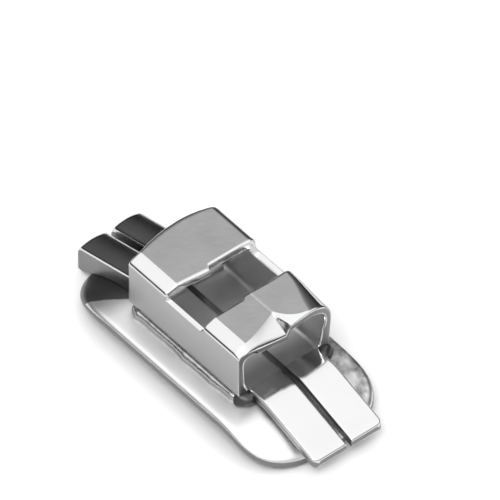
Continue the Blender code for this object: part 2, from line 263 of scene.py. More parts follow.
def far_lip(x, y):
    """Drop of the far half: a three-cornered lip that runs out towards the far wall."""
    length = far_length(y)
    depth = FAR_LIP_DROP * max(0.0, between(y, HALF_WIDTH - far_round(x), VALLEY))
    return depth * max(0.0, (x - FRONT_END + length) / length)


def roof_drop(x, y):
    """How far the front land lies below the roof's plane, where the plier pressed it in."""
    sag = NEAR_SAG if x >= WINDOW_FRONT else 0.0
    if y <= VALLEY:
        return near_lip(x, y) + sag * near_share(y)
    share = min((y - VALLEY) / flank(x), 1.0)
    return (near_lip(x, VALLEY) + sag) * (1 - share) + far_lip(x, max(y, VALLEY + flank(x))) * share


# The cut edges of the roof aren't straight: the rear one is bowed out, the window's rear edge has
# a step on its near side, and the window's front edge runs askew.
EDGE_RUN = 0.3
ROOF_BULGE = 0.20
BULGE_CREST = 0.30
LAND_STEP = 0.11
LAND_STEP_FADE = 0.16
LAND_SKEW = 0.08
FAR_CREASE_FADE = 0.45


def crease_shift(x, y):
    """Draws the rows of points to the slanting creases where the lips start to bend down."""
    length = near_length(min(y, VALLEY))
    if y > VALLEY:
        share = min((y - VALLEY) / FLANK, 1.0)
        length += (far_length(max(y, VALLEY + FLANK)) - length) * share
        length += (LIP_LENGTH - length) * ease(between(y, FAR_CREASE_FADE, ROOF_EDGE))
    crease = FRONT_END - length
    still = WINDOW_FRONT if x < LIP_FOLD else FRONT_END
    return (crease - LIP_FOLD) * between(x, still, LIP_FOLD)


def edge_shift(x, y):
    """How far a point of the roof is drawn along the tube, by its cut edges and its creases."""
    if x < REAR_END + EDGE_RUN:
        fade = 1 - between(x, REAR_END, REAR_END + EDGE_RUN)
        half = BULGE_CREST + ROOF_EDGE if y < BULGE_CREST else HALF_WIDTH - BULGE_CREST
        return -ROOF_BULGE * fade * max(0.0, 1 - ((y - BULGE_CREST) / half) ** 2)
    if x >= WINDOW_FRONT:
        fade = max(0.0, 1 - between(x, WINDOW_FRONT, WINDOW_FRONT + EDGE_RUN))
        skew = LAND_SKEW * fade if y < -VALLEY else 0.0
        return skew + crease_shift(x, y)
    if y < -VALLEY and WINDOW_REAR - EDGE_RUN < x <= WINDOW_REAR:
        fade = between(x, WINDOW_REAR - EDGE_RUN, WINDOW_REAR)
        rise = ease(between(-y, VALLEY, VALLEY + FLANK))
        return LAND_STEP * fade * rise * (1 - max(0.0, between(-y, LAND_STEP_FADE, HALF_WIDTH)))
    return 0.0


# The walls stand on the floor with a round corner outside and in. At the window they end in sills,
# and at the front the near one is thicker, where the mouth was pressed shut. SILL_ROUND gives each
# point of a sill's round edge by its depth below the top and how far it is set in.
NEAR_WALL = 0.11
MOUTH_WALL = 0.17
MOUTH_RUN = 0.5
FAR_WALL = 0.17
LOWER_CORNER = 0.22
SLOT_CORNER_Y = 0.16
SLOT_CORNER_Z = 0.40
WALL_TOP_ROUND = 0.11
INNER_CORNER_Y = 0.34
INNER_CORNER_Z = 0.07
INNER_CORNER_FRONT = 0.26
INNER_CORNER_START = 0.12
SILL_DROP = 0.27
SILL_TILT = 0.04
SILL_ROUND = ((0.07, 0.0), (0.04, 0.005), (0.015, 0.018), (0.0, 0.04))
NEAR_SILL_SHARE = 0.35
SHOULDER_CREASE = 0.018
FLAT_START = 0.88
FLANK_STATIONS = (1.5, 1.08, 0.94, 0.5, 0.06)
POINT_GAP = 0.01


def roof_stations(x, side, edge, bend_y):
    """Places across one half of the roof, from its bend to the valley, closest on the flank."""
    step = flank(x + edge_shift(x, VALLEY + FLANK))
    stations = [(edge + bend_y) / 2, edge + SHOULDER_CREASE, edge, edge - SHOULDER_CREASE]
    stations += spread(FLAT_START * edge, VALLEY + 2 * step, 10)
    stations += [VALLEY + step * share for share in FLANK_STATIONS]
    if side < 0:
        stations = [y - 2 * VALLEY * (1 - y / edge) for y in stations]
    return stations + [side * VALLEY]


def tube_outline(x, side):
    """Outer and inner points of half the tube as it was folded, from the floor up to the valley."""
    near = side < 0
    mouth = ease(between(x, LIP_FOLD - MOUTH_RUN, LIP_FOLD))
    slot = HALF_WIDTH - (NEAR_WALL + (MOUTH_WALL - NEAR_WALL) * mouth if near else FAR_WALL)
    outer = []
    inner = []
    for turn in spread(-math.pi / 2, 0, 8):
        outer.append((HALF_WIDTH - LOWER_CORNER + LOWER_CORNER * math.cos(turn),
                      -SHEET + LOWER_CORNER + LOWER_CORNER * math.sin(turn)))
        inner.append((slot - SLOT_CORNER_Y + SLOT_CORNER_Y * math.cos(turn),
                      SLOT_CORNER_Z + SLOT_CORNER_Z * math.sin(turn)))

    slope = SHOULDER_DROP / SHOULDER_WIDTH if near else 0.0
    tilt = math.atan2(SHOULDER_DROP, SHOULDER_WIDTH) if near else 0.0
    wall_top = ROOF - SHOULDER_DROP if near else ROOF
    round_top = WALL_TOP_ROUND if near else far_round(x)
    bend_y = HALF_WIDTH - round_top
    bend_z = wall_top - round_top * math.tan((math.pi / 2 - tilt) / 2)
    corner_z = INNER_CORNER_Z + (INNER_CORNER_FRONT - INNER_CORNER_Z) * mouth
    outer_top = min(ROOF - SILL_DROP, bend_z - POINT_GAP)
    inner_top = min(ROOF - SILL_DROP, SLOT_HEIGHT - corner_z - POINT_GAP)
    in_window = WINDOW_REAR < x < WINDOW_FRONT
    lean = -side * SILL_TILT / 2 if in_window else 0.0
    for below, inset in SILL_ROUND:
        inset = inset * (NEAR_SILL_SHARE if near else 1.0) if in_window else 0.0
        outer.append((HALF_WIDTH - inset, outer_top - below - lean))
        inner.append((slot + inset, inner_top - below + lean))
    sill_index = len(outer) - 1

    for turn in spread(0, math.pi / 2 - tilt, 7):
        outer.append((bend_y + round_top * math.cos(turn), bend_z + round_top * math.sin(turn)))
    for turn in spread(INNER_CORNER_START, math.pi / 2, 7):
        inner.append((slot - INNER_CORNER_Y * (1 - math.cos(turn)),
                      SLOT_HEIGHT - corner_z * (1 - math.sin(turn))))
    edge = ROOF_EDGE if near else bend_y - 2 * SHOULDER_CREASE
    for y in roof_stations(x, side, edge, bend_y):
        outer.append((y, ROOF - slope * max(0.0, y - edge)))
        inner.append((min(y, slot - INNER_CORNER_Y - 2 * POINT_GAP), SLOT_HEIGHT))
    return outer, inner, sill_index


# The crimp also pushed the far wall out in front, and tumbling wore the cut edges round, most of
# all inside the mouth. The first points of each wall run on into the floor and aren't cut back.
CUT_ROUND = 0.04
FLOOR_POINTS = 3
FAR_SWELL = 0.07
SWELL_ACROSS = (0.6, 1.0)
SWELL_UP = (-0.1, 0.5)
INNER_WEAR = 1.25
MOUTH_WEAR = 1.2
MOUTH_POINTS = 8


def tube_section(x, side):
    """Points of half the tube, with its shaped edges, its crimp and its rounding."""
    outer, inner, sill_index = tube_outline(x, side)
    placed_outer = []
    placed_inner = []
    for index, ((outer_y, outer_z), (inner_y, inner_z)) in enumerate(zip(outer, inner)):
        raised = index > sill_index
        shift = edge_shift(x, side * outer_y) if raised else 0.0
        drop = roof_drop(x + shift, side * outer_y) if raised else 0.0
        ends = [REAR_END, FRONT_END]
        ends += [WINDOW_REAR, WINDOW_FRONT] if raised else []
        inset = rounded_off(CUT_ROUND, min(abs(x - end) for end in ends))
        if index < FLOOR_POINTS:
            inset = 0.0
        thick = math.hypot(outer_y - inner_y, outer_z - inner_z)
        if side > 0 and index >= FLOOR_POINTS:
            swell = FAR_SWELL * ease(between(x, WINDOW_FRONT, FRONT_END))
            swell *= ease(between(outer_y, *SWELL_ACROSS)) * ease(between(outer_z, *SWELL_UP))
            outer_y += swell
            inner_y += swell
        step_y = (inner_y - outer_y) / thick * inset
        step_z = (inner_z - outer_z) / thick * inset
        placed_outer.append((x + shift, side * (outer_y + step_y), outer_z + step_z - drop))
        worn = INNER_WEAR
        if side < 0 and x > LIP_FOLD:
            worn += MOUTH_WEAR * (1 - ease(between(index, sill_index, sill_index + MOUTH_POINTS)))
        inner_y -= worn * step_y
        inner_z -= worn * step_z
        placed_inner.append((x + shift, side * inner_y, inner_z - drop))
    return placed_outer, placed_inner, sill_index


# The rows of points along the strip lie close together where an edge is rounded or a fold begins.
ROW_GAP = 0.03
CLOSE_GAP = 0.01
LIP_GAP = 0.006
TONGUE_ROOT = 0.12
FOLD_LEAD = 0.08


def cut_rows(end, way, radius=CUT_ROUND, count=4):
    """Rows that round one cut edge over, from the edge into the metal."""
    rows = [end + way * radius * (1 - math.cos(turn)) for turn in spread(0, math.pi / 2, count)]
    return rows if way > 0 else list(reversed(rows))


sheath_rows = cut_rows(EAR_END, 1, EAR_END_ROUND, 7)
sheath_rows += spread(EAR_END + EAR_END_ROUND + ROW_GAP, REAR_END - 2 * CLOSE_GAP, 16)
sheath_rows += cut_rows(REAR_END, 1)
sheath_rows += spread(REAR_END + CUT_ROUND + ROW_GAP, WINDOW_REAR - CUT_ROUND - ROW_GAP, 18)
sheath_rows += cut_rows(WINDOW_REAR, -1)
sheath_rows += spread(WINDOW_REAR + ROW_GAP, WINDOW_FRONT - ROW_GAP, 8)
sheath_rows += cut_rows(WINDOW_FRONT, 1)
sheath_rows += spread(WINDOW_FRONT + CUT_ROUND + ROW_GAP, LIP_FOLD - CLOSE_GAP, 18)
sheath_rows += spread(LIP_FOLD, FRONT_END - CUT_ROUND - LIP_GAP, 14)
sheath_rows += cut_rows(FRONT_END, -1)
sheath_rows += spread(FRONT_END, FRONT_END + TONGUE_ROOT, 4)[1:]
sheath_rows += [TONGUE_FOLD - TONGUE_BEND - FOLD_LEAD]
sheath_rows += spread(TONGUE_FOLD - TONGUE_BEND, TONGUE_FOLD + TONGUE_BEND, 8)
sheath_rows += spread(TONGUE_FOLD + TONGUE_BEND, TONGUE_TIP - TONGUE_CORNER, 8)[1:]
for turn in spread(0, math.pi / 2, 8)[1:]:
    sheath_rows.append(TONGUE_TIP - TONGUE_CORNER * (1 - math.sin(turn)))


# The sheet is closed with walls at every cut edge. Its faces take one of four finishes: bright
# outside, dull inside, sheared at the ends, and satin on the outer walls, in a darker colour that
# is painted shade.
BRIGHT = 0
DULL = 1
SHEARED = 2
SATIN_SHADE = 3
SATIN_SHADE_START = 5
NEAR_SATIN_SHADE = 3
FAR_SATIN_SHADE = 6
SAME_POINT = 0.0002 * MM


def sheath_cell(x, from_seam, strip_cells, sill):
    """Which cells of the sheet are metal: the strips all along, the tube between its ends."""
    if from_seam < strip_cells:
        return True
    if x < REAR_END or x > FRONT_END:
        return False
    return not WINDOW_REAR < x < WINDOW_FRONT or from_seam < strip_cells + 1 + sill


def finished_mesh(bm, name):
    """The faces built so far as a mesh, all of them turned outwards."""
    bmesh.ops.recalc_face_normals(bm, faces=bm.faces)
    if bm.calc_volume(signed=True) < 0:
        bmesh.ops.reverse_faces(bm, faces=bm.faces)
    mesh = bpy.data.meshes.new(name)
    bm.to_mesh(mesh)
    bm.free()
    return mesh


def folded_sheet(name, rows):
    """Two grids of points, inside and outside of the sheet, joined at its cut edges."""
    upper = []
    lower = []
    for x in rows:
        near_up, near_low = strip_section(x, -1)
        far_up, far_low = strip_section(x, 1)
        near_out, near_in, sill = tube_section(x, -1)
        far_out, far_in, sill = tube_section(x, 1)
        strip_cells = len(near_up) - 1
        upper.append(near_up + near_in + list(reversed(far_up + far_in))[1:])
        lower.append(near_low + near_out + list(reversed(far_low + far_out))[1:])
    columns = len(upper[0]) - 1
    bm = bmesh.new()
    tops = {}
    unders = {}

    def kept(i, j):
        if not (0 <= i < len(rows) - 1 and 0 <= j < columns):
            return False
        return sheath_cell((rows[i] + rows[i + 1]) / 2, min(j, columns - 1 - j), strip_cells, sill)

    def corner(store, grid, key):
        if key not in store:
            store[key] = bm.verts.new(at(*grid[key[0]][key[1]]))
        return store[key]

    for i in range(len(rows) - 1):
        for j in range(columns):
            if not kept(i, j):
                continue
            keys = ((i, j), (i + 1, j), (i + 1, j + 1), (i, j + 1))
            centre = (rows[i] + rows[i + 1]) / 2
            in_tube = REAR_END < centre < FRONT_END - CUT_ROUND
            inside = bm.faces.new([corner(tops, upper, key) for key in keys])
            inside.material_index = DULL if in_tube else BRIGHT
            outside = bm.faces.new([corner(unders, lower, key) for key in reversed(keys)])
            from_corner = min(j, columns - 1 - j) - strip_cells
            satin_shade_top = sill + (NEAR_SATIN_SHADE if j < columns / 2 else FAR_SATIN_SHADE)
            outside.material_index = SATIN_SHADE if SATIN_SHADE_START < from_corner < satin_shade_top else BRIGHT
            beyond = ((i, j - 1), (i + 1, j), (i, j + 1), (i - 1, j))
            for k in range(4):
                if kept(*beyond[k]):
                    continue
                a = keys[k]
                b = keys[(k + 1) % 4]
                edge = bm.faces.new((tops[b], tops[a], unders[a], unders[b]))
                if from_corner < 0 or abs(centre) > SHEATH_LENGTH / 2 - CUT_ROUND:
                    edge.material_index = DULL if REAR_END < centre < WINDOW_FRONT else SHEARED
    bmesh.ops.remove_doubles(bm, verts=bm.verts, dist=SAME_POINT)
    return finished_mesh(bm, name)


# All the metal is tumbled alike, and its materials differ only in colour, gloss and grain.
PATCH_SCALE = 1.7
PATCH_SHADE = 0.93
DENT_DEPTH = 0.01


def millimetres(tree):
    """Coordinates fixed to the metal, scaled so that one unit is a millimetre."""
    place = tree.nodes.new("ShaderNodeTexCoord")
    scale = tree.nodes.new("ShaderNodeVectorMath")
    scale.operation = "SCALE"
    scale.inputs["Scale"].default_value = 1 / MM
    tree.links.new(place.outputs["Object"], scale.inputs[0])
    return scale.outputs[0]


def polished_steel(name, colour, roughness, grain, dent):
    """Stainless steel after tumbling: patches of finer and coarser polish, and faint soft dents."""
    material = bpy.data.materials.new(name)
    material.use_nodes = True
    tree = material.node_tree
    shader = tree.nodes["Principled BSDF"]
    shader.inputs["Metallic"].default_value = 1.0
    where = millimetres(tree)

    patches = tree.nodes.new("ShaderNodeTexNoise")
    patches.inputs["Scale"].default_value = PATCH_SCALE
    patches.inputs["Detail"].default_value = 5.0
    tree.links.new(where, patches.inputs["Vector"])
    gloss = tree.nodes.new("ShaderNodeMapRange")
    gloss.inputs["From Min"].default_value = 0.35
    gloss.inputs["From Max"].default_value = 0.65
    gloss.inputs["To Min"].default_value = roughness[0]
    gloss.inputs["To Max"].default_value = roughness[1]
    tree.links.new(patches.outputs["Fac"], gloss.inputs["Value"])
    tree.links.new(gloss.outputs["Result"], shader.inputs["Roughness"])

    tone = tree.nodes.new("ShaderNodeValToRGB")
    tone.color_ramp.elements[0].color = (*[c * PATCH_SHADE for c in colour], 1)
    tone.color_ramp.elements[1].color = (*colour, 1)
    tree.links.new(patches.outputs["Fac"], tone.inputs["Fac"])
    tree.links.new(tone.outputs["Color"], shader.inputs["Base Color"])

    pits = tree.nodes.new("ShaderNodeTexNoise")
    pits.inputs["Scale"].default_value = grain
    pits.inputs["Detail"].default_value = 3.0
    tree.links.new(where, pits.inputs["Vector"])
    relief = tree.nodes.new("ShaderNodeBump")
    relief.inputs["Strength"].default_value = dent
    relief.inputs["Distance"].default_value = DENT_DEPTH * MM
    tree.links.new(pits.outputs["Fac"], relief.inputs["Height"])
    tree.links.new(relief.outputs["Normal"], shader.inputs["Normal"])
    return material


def metal_piece(name, mesh, finishes, node, sharpest=28):
    """Put a piece in place of its plain solid, shaded smooth except across its sharp folds."""
    mesh.shade_smooth()
    mesh.set_sharp_from_angle(angle=math.radians(sharpest))
    for finish in finishes:
        mesh.materials.append(finish)
    piece = bpy.data.objects.new(name, mesh)
    bpy.context.collection.objects.link(piece)
    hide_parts(node)
    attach(piece, "root")


sheath_mesh = folded_sheet("folded_sheath", sheath_rows)
sheath_steel = polished_steel("sheath steel", (0.69, 0.69, 0.695), (0.12, 0.17), grain=9.0, dent=0.05)
dull_steel = polished_steel("dull steel", (0.60, 0.595, 0.60), (0.34, 0.42), grain=14.0, dent=0.25)
sheared_steel = polished_steel("sheared steel", (0.235, 0.23, 0.23), (0.34, 0.46), grain=16.0, dent=0.4)
# The outer walls are the same sheet as the roof. Their darker colour is painted shade, on a satin gloss.
satin_shaded_steel = polished_steel("satin shaded steel", (0.41, 0.41, 0.415), (0.32, 0.40), grain=12.0, dent=0.2)
finishes = (sheath_steel, dull_steel, sheared_steel, satin_shaded_steel)
metal_piece("folded_sheath", sheath_mesh, finishes, "sheath")

# Bonding pad: thin stainless foil, stamped to the curve of the tooth's inner face. Its edge is
# turned down into a rim that holds the gauze, and the back inside the rim is blasted dull. The
# same dark colour on the outer side of the rim is painted shade.
REAR_REACH = 0.09
REAR_ROUND = 1.69
REAR_POWER = 2.6
FRONT_ROUND = 1.12
FRONT_POWER = 2.7


def pad_outline(inset, end_steps=48, side_steps=24):
    """Oblong with straight sides, rounder behind than in front."""
    half = PAD_WIDTH / 2 - inset
    front_start = PAD_HALF - FRONT_ROUND
    rear_start = -PAD_HALF - REAR_REACH + REAR_ROUND
    points = []
    for start, other, size, power, way in (
        (front_start, rear_start, FRONT_ROUND, FRONT_POWER, 1),
        (rear_start, front_start, REAR_ROUND, REAR_POWER, -1),
    ):
        for turn in spread(-math.pi / 2, math.pi / 2, end_steps):
            along = max(math.cos(turn), 0.0) ** (2 / power) * (size - inset)
            across = abs(math.sin(turn)) ** (2 / power) * math.copysign(half, turn)
            points.append((start + way * along, PAD_SHIFT + way * across))
        points += [(x, PAD_SHIFT + way * half) for x in spread(start, other, side_steps)[1:-1]]
    return points


def loop_at(bm, points, share, height):
    """One ring of points, drawn towards the pad's middle by a share."""
    ring = []
    for x, y in points:
        x = x * share
        y = PAD_SHIFT + (y - PAD_SHIFT) * share
        ring.append(bm.verts.new(at(x, y, height(x, y))))
    return ring


def bridge_rings(bm, rings, dull_from=None):
    """Faces from each ring to the next, in the second finish from one of the rings on."""
    for number, (first, second) in enumerate(zip(rings, rings[1:])):
        for k in range(len(first)):
            after = (k + 1) % len(first)
            face = bm.faces.new((first[k], first[after], second[after], second[k]))
            if dull_from is not None and number >= dull_from:
                face.material_index = 1


RIM_WIDTH = 0.13
RIM_DEPTH = 0.25
RIM_FOOT_ROUND = 0.11
PAD_EDGE_ROUND = 0.11
PAD_MIDDLE = 0.05
BRIGHT_BENDS = 4


def pad_mesh():
    """The pad in rings: out over its face, down round its rim, and back in across the well."""
    bm = bmesh.new()
    well = pad_outline(RIM_WIDTH)
    shoulder = pad_outline(PAD_EDGE_ROUND)
    shares = spread(PAD_MIDDLE, 1.0, 18)

    def back(x, y):
        return pad_top(x, y) - PAD_THICKNESS

    def rim(x, y):
        return pad_top(x, y) - RIM_DEPTH

    rings = [loop_at(bm, shoulder, share, pad_top) for share in shares]
    for turn in spread(0, math.pi / 2, 7)[1:]:
        bent = pad_outline(PAD_EDGE_ROUND * (1 - math.sin(turn)))
        fall = PAD_EDGE_ROUND * (1 - math.cos(turn))
        rings.append(loop_at(bm, bent, 1.0, lambda x, y: pad_top(x, y) - fall))
    for turn in spread(0, math.pi / 2, 4):
        bent = pad_outline(RIM_FOOT_ROUND * (1 - math.cos(turn)))
        fall = RIM_DEPTH - RIM_FOOT_ROUND * (1 - math.sin(turn))
        rings.append(loop_at(bm, bent, 1.0, lambda x, y: pad_top(x, y) - fall))
    rings.append(loop_at(bm, well, 1.0, rim))
    rings += [loop_at(bm, well, share, back) for share in reversed(shares)]
    # From the fifth ring round the edge on, the rim takes the dark blasted colour. On its outer side that
    # colour is painted shade, and inside the well it is the blasted back.
    bridge_rings(bm, rings, dull_from=len(shares) + BRIGHT_BENDS)
    bm.faces.new(rings[0])
    bm.faces.new(rings[-1]).material_index = 1
    return finished_mesh(bm, "stamped_pad")


# Painted shade on the pad: behind the ears its colour is darkened where the ears would be seen reflected
# in it, and round the far front corner it is darker as well.
EAR_SHADE_AND_DARK_CORNER_COLOUR = (0.16, 0.157, 0.157, 1)
EAR_SHADE_HEADING = (-0.7, 0.7, 0)
EAR_SHADE_REACH = {"clear": 0.64, "full": 0.82, "most": 2.0}
DARK_CORNER_CENTRE = (2.0, 1.15, 0)
DARK_CORNER_REACH = {"clear": 1.6, "full": 0.9, "most": 0.60}
DARKENING_CLOUD = 0.8
DARKENING_START = 0.75
DARKENING_DARKEST = 1.15


def darkening_cover(tree, place, clear, full, most):
    """How strongly the darkening covers the metal, between a place clear of it and one in full."""
    cover = tree.nodes.new("ShaderNodeMapRange")
    cover.inputs["From Min"].default_value = clear
    cover.inputs["From Max"].default_value = full
    cover.inputs["To Max"].default_value = most
    tree.links.new(place.outputs["Value"], cover.inputs["Value"])
    return cover.outputs["Result"]


def add_ear_shade_and_dark_corner(steel):
    """Lay the painted shade behind the ears and the darker far front corner over a steel's own colour,
    with a cloudy edge.
    """
    tree = steel.node_tree
    shader = tree.nodes["Principled BSDF"]
    where = millimetres(tree)
    cloud = tree.nodes.new("ShaderNodeTexNoise")
    cloud.inputs["Scale"].default_value = 4.5
    cloud.inputs["Detail"].default_value = 6.0
    tree.links.new(where, cloud.inputs["Vector"])
    rearward = tree.nodes.new("ShaderNodeVectorMath")
    rearward.operation = "DOT_PRODUCT"
    rearward.inputs[1].default_value = EAR_SHADE_HEADING
    tree.links.new(where, rearward.inputs[0])
    corner = tree.nodes.new("ShaderNodeVectorMath")
    corner.operation = "DISTANCE"
    corner.inputs[1].default_value = Vector(at(*DARK_CORNER_CENTRE)) / MM
    tree.links.new(where, corner.inputs[0])

    widest = tree.nodes.new("ShaderNodeMath")
    widest.operation = "MAXIMUM"
    tree.links.new(darkening_cover(tree, rearward, **EAR_SHADE_REACH), widest.inputs[0])
    tree.links.new(darkening_cover(tree, corner, **DARK_CORNER_REACH), widest.inputs[1])
    uneven = tree.nodes.new("ShaderNodeMath")
    uneven.operation = "MULTIPLY_ADD"
    uneven.inputs[1].default_value = DARKENING_CLOUD
    tree.links.new(cloud.outputs["Fac"], uneven.inputs[0])
    tree.links.new(widest.outputs["Value"], uneven.inputs[2])
    darkening = tree.nodes.new("ShaderNodeMapRange")
    darkening.inputs["From Min"].default_value = DARKENING_START
    darkening.inputs["From Max"].default_value = DARKENING_DARKEST
    tree.links.new(uneven.outputs["Value"], darkening.inputs["Value"])

    # A mix node's two colours are its inputs 6 and 7, and the mixed colour is its output 2.
    shade = tree.nodes.new("ShaderNodeMix")
    shade.data_type = "RGBA"
    plain_colour = shader.inputs["Base Color"].links[0].from_socket
    tree.links.new(plain_colour, shade.inputs[6])
    shade.inputs[7].default_value = EAR_SHADE_AND_DARK_CORNER_COLOUR
    tree.links.new(darkening.outputs["Result"], shade.inputs["Factor"])
    tree.links.new(shade.outputs[2], shader.inputs["Base Color"])


pad_steel = polished_steel("pad steel", (0.86, 0.86, 0.865), (0.33, 0.40), grain=5.0, dent=0.10)
# Painted shade: the pad's colour is darkened behind the ears, and also round the far front corner.
add_ear_shade_and_dark_corner(pad_steel)
blasted_steel_and_rim_shade = polished_steel("blasted steel and rim shade", (0.225, 0.225, 0.225), (0.44, 0.54), grain=18.0, dent=0.6)
metal_piece("stamped_pad", pad_mesh(), (pad_steel, blasted_steel_and_rim_shade), "bonding_pad")

# Gauze: plain-woven stainless wire, spot-welded into the back of the pad, where the adhesive
# keys into it. Each wire passes over one crossing and under the next.
GAUZE_PITCH = 0.29
WIRE_RADIUS = 0.037
WIRE_SWING = 0.032
WIRE_PLAY = 0.005
WIRE_SIDES = 8
STEPS_TO_PITCH = 8


def inside_well(x, y, margin):
    """Whether a point lies within the pad's rim, by the rim's own outline."""
    half = PAD_WIDTH / 2 - margin
    across = abs(y - PAD_SHIFT) / half
    if across >= 1:
        return False
    size, power, start = (FRONT_ROUND, FRONT_POWER, PAD_HALF - FRONT_ROUND)
    if x < 0:
        size, power, start = (REAR_ROUND, REAR_POWER, PAD_HALF + REAR_REACH - REAR_ROUND)
    along = max(abs(x) - start, 0.0) / (size - margin)
    return along ** power + across ** power < 1


def add_wire(bm, path):
    """A round wire along a path of points."""
    rings = []
    for index, point in enumerate(path):
        before = path[max(index - 1, 0)]
        after = path[min(index + 1, len(path) - 1)]
        forward = (after - before).normalized()
        level = forward.cross(Vector((0, 0, 1))).normalized()
        rise = level.cross(forward)
        ring = []
        for turn in spread(0, 2 * math.pi, WIRE_SIDES)[:-1]:
            spot = point + (level * math.cos(turn) + rise * math.sin(turn)) * WIRE_RADIUS
            ring.append(bm.verts.new(at(*spot)))
        rings.append(ring)
    bridge_rings(bm, rings)
    bm.faces.new(rings[0])
    bm.faces.new(rings[-1])


def woven_gauze():
    """Wires along the pad and across it, each cut off where it meets the rim."""
    bm = bmesh.new()
    step = GAUZE_PITCH / STEPS_TO_PITCH
    margin = RIM_WIDTH + WIRE_RADIUS + WIRE_PLAY
    for lengthwise in (True, False):
        reach = PAD_WIDTH / 2 if lengthwise else PAD_HALF
        span = PAD_HALF if lengthwise else PAD_WIDTH / 2
        for number in range(-int(reach / GAUZE_PITCH), int(reach / GAUZE_PITCH) + 1):
            side = number * GAUZE_PITCH
            path = []
            for mark in range(-int(span / step), int(span / step) + 1):
                along = mark * step
                x, y = (along, PAD_SHIFT + side) if lengthwise else (side, PAD_SHIFT + along)
                if not inside_well(x, y, margin):
                    continue
                swing = math.cos(math.pi * along / GAUZE_PITCH) * (-1) ** number
                lift = WIRE_SWING * swing * (1 if lengthwise else -1)
                middle = pad_top(x, y) - PAD_THICKNESS - WIRE_RADIUS - WIRE_SWING - WIRE_PLAY
                path.append(Vector((x, y, middle + lift)))
            if len(path) > 2:
                add_wire(bm, path)
    return finished_mesh(bm, "woven_gauze")


gauze_steel = polished_steel("gauze steel", (0.75, 0.75, 0.76), (0.28, 0.42), grain=14.0, dent=0.5)
metal_piece("woven_gauze", woven_gauze(), (gauze_steel,), "mesh_screen", sharpest=60)

# Braze: silver-coloured solder that ran along the foot of each wall in the furnace and set as an
# uneven fillet between the sheath and the pad. At the front corner a dark lump is painted shade,
# standing for the dark between the tongue and the wall's end.
BEAD_REACH = 0.085
BEAD_RISE = 0.155
BEAD_WAVE = 0.015
BEAD_START = 0.01
NEAR_BEAD_LONGER = 0.03
FAR_BEAD_SHORTER = 0.04
BEAD_TAPER = 12
BEAD_LIFT = 0.004
BEAD_BITE = 0.01
BEAD_TUCK = 0.12
BEAD_ROOT = 0.05
BEAD_ROOT_RISE = 0.9
SWELL_RATE = 3.1
RIPPLE_RATE = 7.7
RIPPLE_SIZE = 0.6
RIPPLE_LAG = 2.3
FINE_RATE = 15
FINE_SIZE = 0.25
FINE_BEAT = 2.2
GRAIN_RATE = 31
GRAIN_SIZE = 0.12


def bead_wave(x, phase):
    """Unevenness along a bead: a slow swell, with finer and finer ripples on it."""
    swell = math.sin(SWELL_RATE * x + phase)
    ripple = RIPPLE_SIZE * math.sin(RIPPLE_RATE * x + RIPPLE_LAG * phase)
    fine_ripple = FINE_SIZE * math.sin(FINE_RATE * x + phase) * math.sin(FINE_BEAT * x + 1)
    grain = GRAIN_SIZE * math.sin(GRAIN_RATE * x)
    return (swell + ripple) + (fine_ripple + grain)


# The lump at the front corner is painted shade: a dark body set in the notch, which is only in shadow.
CORNER_LUMP = 0.19
LUMP_WIDER = 1.2
LUMP_LOWER = 0.9
LUMP_INSET = 0.17
LUMP_DENT = 0.14
LUMP_DENT_RATE = 2.5
LUMP_RIPPLE = 0.06


def lump_unevenness(x, y, z, phase):
    """How far the lump stands out from an even ball, in a direction."""
    dent = LUMP_DENT * math.sin(LUMP_DENT_RATE * x + phase) * math.sin(LUMP_DENT_RATE * y)
    ripple = LUMP_RIPPLE * math.sin(4 * z + 3 * y)
    return 1 + dent + ripple


def braze_bead(name, side, phase):
    """One bead along the foot of a wall, and the dark lump of painted shade at its front end in the
    second finish.
    """
    bm = bmesh.new()
    rings = []
    start = REAR_END + BEAD_START
    length = SHEATH_LENGTH + (NEAR_BEAD_LONGER if side < 0 else -FAR_BEAD_SHORTER)
    for share in spread(0, 1, 120):
        x = start + length * share
        wave = bead_wave(x, phase)
        taper = math.sqrt(min(1.0, BEAD_TAPER * share, BEAD_TAPER * (1 - share)))
        reach = (BEAD_REACH + BEAD_WAVE * wave) * taper
        rise = (BEAD_RISE + BEAD_WAVE / 2 * wave) * taper
        foot = pad_top(x, HALF_WIDTH) + BEAD_LIFT
        head = HALF_WIDTH - BEAD_BITE - BEAD_TUCK * (1 - taper)
        section = [(head - BEAD_ROOT, foot), (head - BEAD_ROOT, foot + BEAD_ROOT_RISE * rise)]
        for turn in spread(0, math.pi / 2, 9):
            y = head + reach * math.sin(turn)
            section.append((y, pad_top(x, y) + BEAD_LIFT + rise * math.cos(turn)))
        rings.append([bm.verts.new(at(x, side * y, z)) for y, z in section])
    bridge_rings(bm, rings)
    bm.faces.new(rings[0])
    bm.faces.new(rings[-1])
    lump = set(bmesh.ops.create_icosphere(bm, subdivisions=4, radius=1.0)["verts"])
    for vert in lump:
        x, y, z = vert.co
        uneven = lump_unevenness(x, y, z, phase)
        vert.co = at(FRONT_END + CORNER_LUMP * x * uneven,
                     side * (HALF_WIDTH - LUMP_INSET) + LUMP_WIDER * CORNER_LUMP * y * uneven,
                     -SHEET + LUMP_LOWER * CORNER_LUMP * z * uneven)
    for face in bm.faces:
        face.material_index = int(any(vert in lump for vert in face.verts))
    bmesh.ops.remove_doubles(bm, verts=bm.verts, dist=SAME_POINT)
    return finished_mesh(bm, name)


frozen_braze = polished_steel("frozen braze", (0.52, 0.518, 0.515), (0.22, 0.32), grain=9.0, dent=0.4)
